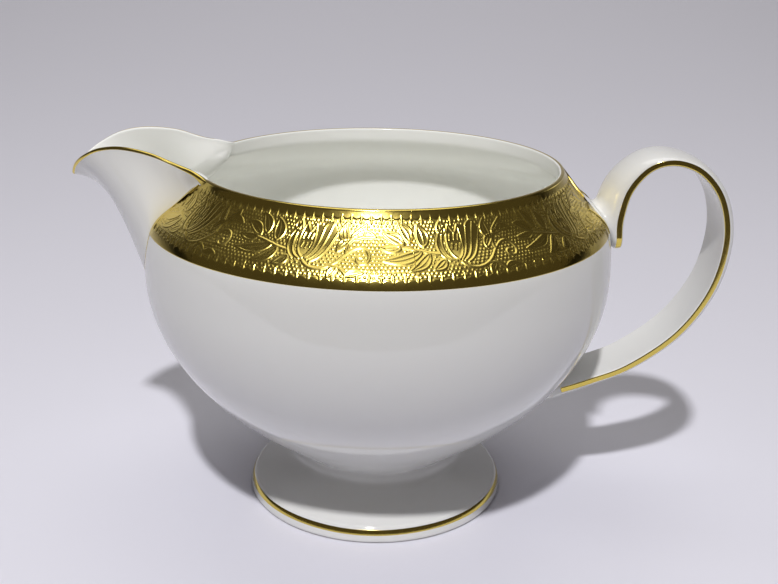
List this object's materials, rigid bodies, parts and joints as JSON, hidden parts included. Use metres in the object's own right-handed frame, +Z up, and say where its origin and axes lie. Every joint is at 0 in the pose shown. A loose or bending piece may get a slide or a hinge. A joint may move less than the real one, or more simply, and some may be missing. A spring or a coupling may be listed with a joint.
{
  "type": "cream jug",
  "caption": "Footed porcelain cream jug: globe bowl with wide mouth, beak spout, strap loop handle, pedestal foot and gilded shoulder.",
  "frame": {"origin": "middle of the length and width, on the plane that the foot rests on", "axes": "+X towards the handle, -X towards the spout, +Z up out of the mouth"},
  "size_m": [0.1358, 0.0958, 0.0767],
  "materials": {
    "porcelain": "gloss",
    "etched_gold": "satin",
    "gold_line": "polished"
  },
  "bodies": {
    "root": {"bowl": "porcelain", "foot": "porcelain", "spout": "porcelain", "handle": "porcelain", "etched_gold_band": "etched_gold", "spout_lip_line": "gold_line", "spout_seam_line_near": "gold_line", "spout_seam_line_far": "gold_line", "handle_line_near": "gold_line", "handle_line_far": "gold_line", "foot_line": "gold_line"}
  },
  "joints": []
}
